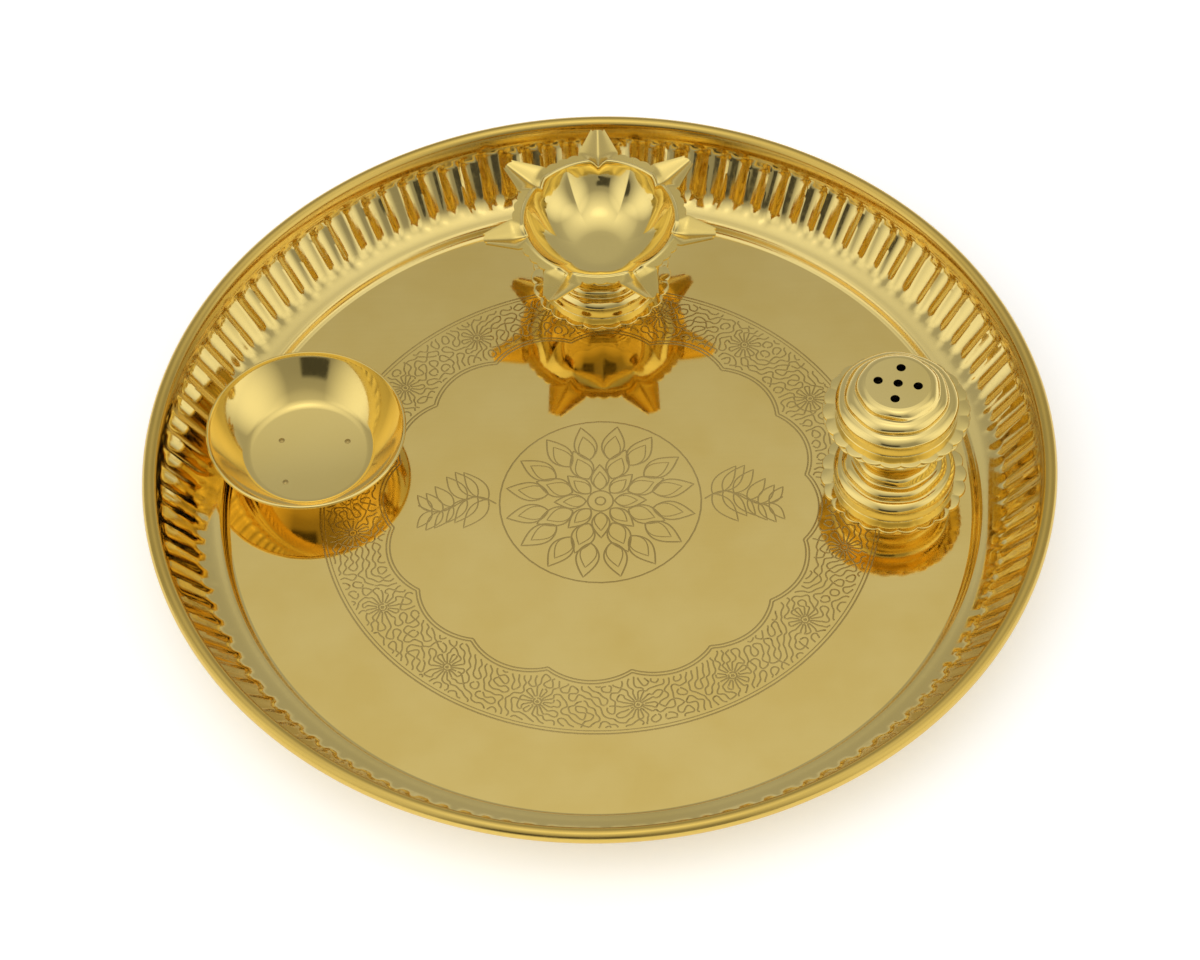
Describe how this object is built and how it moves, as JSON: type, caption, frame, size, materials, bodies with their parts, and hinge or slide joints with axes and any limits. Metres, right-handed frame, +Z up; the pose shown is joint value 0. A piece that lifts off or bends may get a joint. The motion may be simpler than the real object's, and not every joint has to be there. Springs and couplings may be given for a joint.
{
  "type": "puja thali",
  "caption": "Round polished brass puja thali with a fluted wall and rolled rim, holding a lift-off star-shaped oil lamp, a small bowl and an incense-stick stand.",
  "frame": {"origin": "centre of the underside of the tray's floor, on which the tray stands", "axes": "+Z up, square to the tray's floor; +Y towards the oil lamp at the back; +X towards the incense stand"},
  "size_m": [0.254, 0.254, 0.038],
  "materials": {
    "tray_brass": "polished",
    "lamp_brass": "polished",
    "stamped_brass": "polished",
    "bowl_brass": "polished",
    "solder_brass": "satin"
  },
  "bodies": {
    "tray": {"tray": "tray_brass"},
    "lamp": {"lamp_bowl": "lamp_brass", "lamp_foot": "stamped_brass", "lamp_solder": "solder_brass"},
    "bowl": {"bowl": "bowl_brass"},
    "stand": {"stand_foot": "stamped_brass", "stand_cup": "stamped_brass", "stand_cap": "stamped_brass", "stand_solder": "solder_brass"}
  },
  "joints": [
    {"name": "lamp_lift", "type": "slide", "parent": "tray", "child": "lamp", "axis": [0, 0, 1], "range_m": [0, 0.06]},
    {"name": "bowl_lift", "type": "slide", "parent": "tray", "child": "bowl", "axis": [0, 0, 1], "range_m": [0, 0.06]},
    {"name": "stand_lift", "type": "slide", "parent": "tray", "child": "stand", "axis": [0, 0, 1], "range_m": [0, 0.06]}
  ]
}
